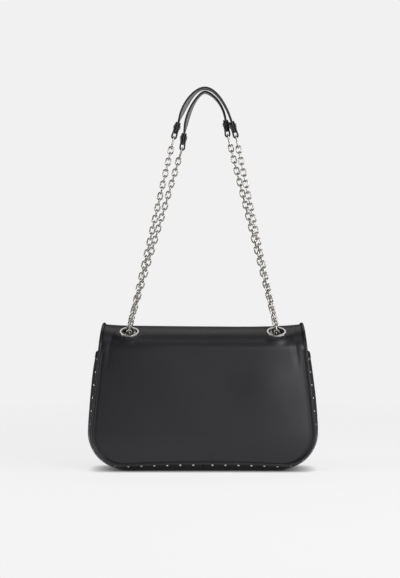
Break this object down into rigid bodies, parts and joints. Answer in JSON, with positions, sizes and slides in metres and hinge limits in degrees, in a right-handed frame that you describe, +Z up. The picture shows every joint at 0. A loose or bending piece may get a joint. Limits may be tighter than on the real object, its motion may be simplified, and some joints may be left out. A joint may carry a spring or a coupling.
{
  "type": "shoulder bag",
  "caption": "Flap shoulder bag in smooth leather with a studded gusset, a magnetic snap and a doubled chain strap that runs through two eyelets to nested shoulder pads",
  "frame": {"origin": "middle of the whole bag's width and depth, on the floor that the bag stands on", "axes": "+Z up, the plain back panel faces -Y, the flap closes on the +Y side, +X along the bag's width"},
  "size_m": [0.283, 0.1013, 0.4705],
  "materials": {
    "black_leather": "smooth black leather with a fine grain and a soft sheen",
    "lining": "dark twill lining cloth",
    "nickel": "polished nickel-coloured plating",
    "snap_metal": "satin nickel-coloured plating",
    "board": "dark stiffening board",
    "zip_tape": "black woven zip tape",
    "zip_coil": "black nylon coil"
  },
  "bodies": {
    "bag": {"back_panel": "black_leather", "front_panel": "black_leather", "gusset_left": "black_leather", "gusset_right": "black_leather", "back_piping": "black_leather", "front_piping": "black_leather", "gusset_studs": "nickel", "base_board": "board", "lining_back": "lining", "lining_front": "lining", "lining_gusset": "lining", "eyelet_left": "nickel", "eyelet_right": "nickel", "eyelet_washers": "nickel", "snap_socket": "snap_metal", "snap_socket_washer": "snap_metal", "outer_cross_chain": "nickel", "inner_cross_chain": "nickel", "zip_pocket": "lining", "slip_pocket": "lining", "zip_tapes": "zip_tape", "zip_coils": "zip_coil"},
    "flap": {"flap_leather": "black_leather", "flap_lining": "lining", "flap_piping": "black_leather", "snap_stud": "snap_metal", "snap_stud_washer": "snap_metal"},
    "outer_strap": {"outer_chain_left": "nickel", "outer_chain_right": "nickel", "outer_pad": "black_leather", "outer_loops": "black_leather", "outer_end_rings": "nickel", "outer_rivets": "nickel"},
    "inner_strap": {"inner_chain_left": "nickel", "inner_chain_right": "nickel", "inner_pad": "black_leather", "inner_loops": "black_leather", "inner_end_rings": "nickel", "inner_rivets": "nickel"},
    "zip_slider": {"zip_slider": "nickel"},
    "zip_puller": {"zip_puller": "nickel"}
  },
  "joints": [
    {"name": "flap_hinge", "type": "hinge", "parent": "bag", "child": "flap", "pos_m": [0, -0.01157, 0.18084], "axis": [1, 0, 0], "range_deg": [0, 100]},
    {"name": "outer_strap_swing", "type": "hinge", "parent": "bag", "child": "outer_strap", "pos_m": [0, -0.04029, 0.17323], "axis": [1, 0, 0], "range_deg": [0, 90]},
    {"name": "inner_strap_swing", "type": "hinge", "parent": "bag", "child": "inner_strap", "pos_m": [0, -0.03066, 0.18271], "axis": [1, 0, 0], "range_deg": [0, 90]},
    {"name": "zip_slide", "type": "slide", "parent": "bag", "child": "zip_slider", "axis": [-1, 0, 0], "range_m": [0, 0.12]},
    {"name": "zip_puller_flip", "type": "hinge", "parent": "zip_slider", "child": "zip_puller", "pos_m": [0.06, -0.04077, 0.112], "axis": [0, 0, -1], "range_deg": [0, 180]}
  ],
  "couplings": [
    {"joint": "inner_strap_swing", "follows": "outer_strap_swing", "ratio": 1}
  ]
}
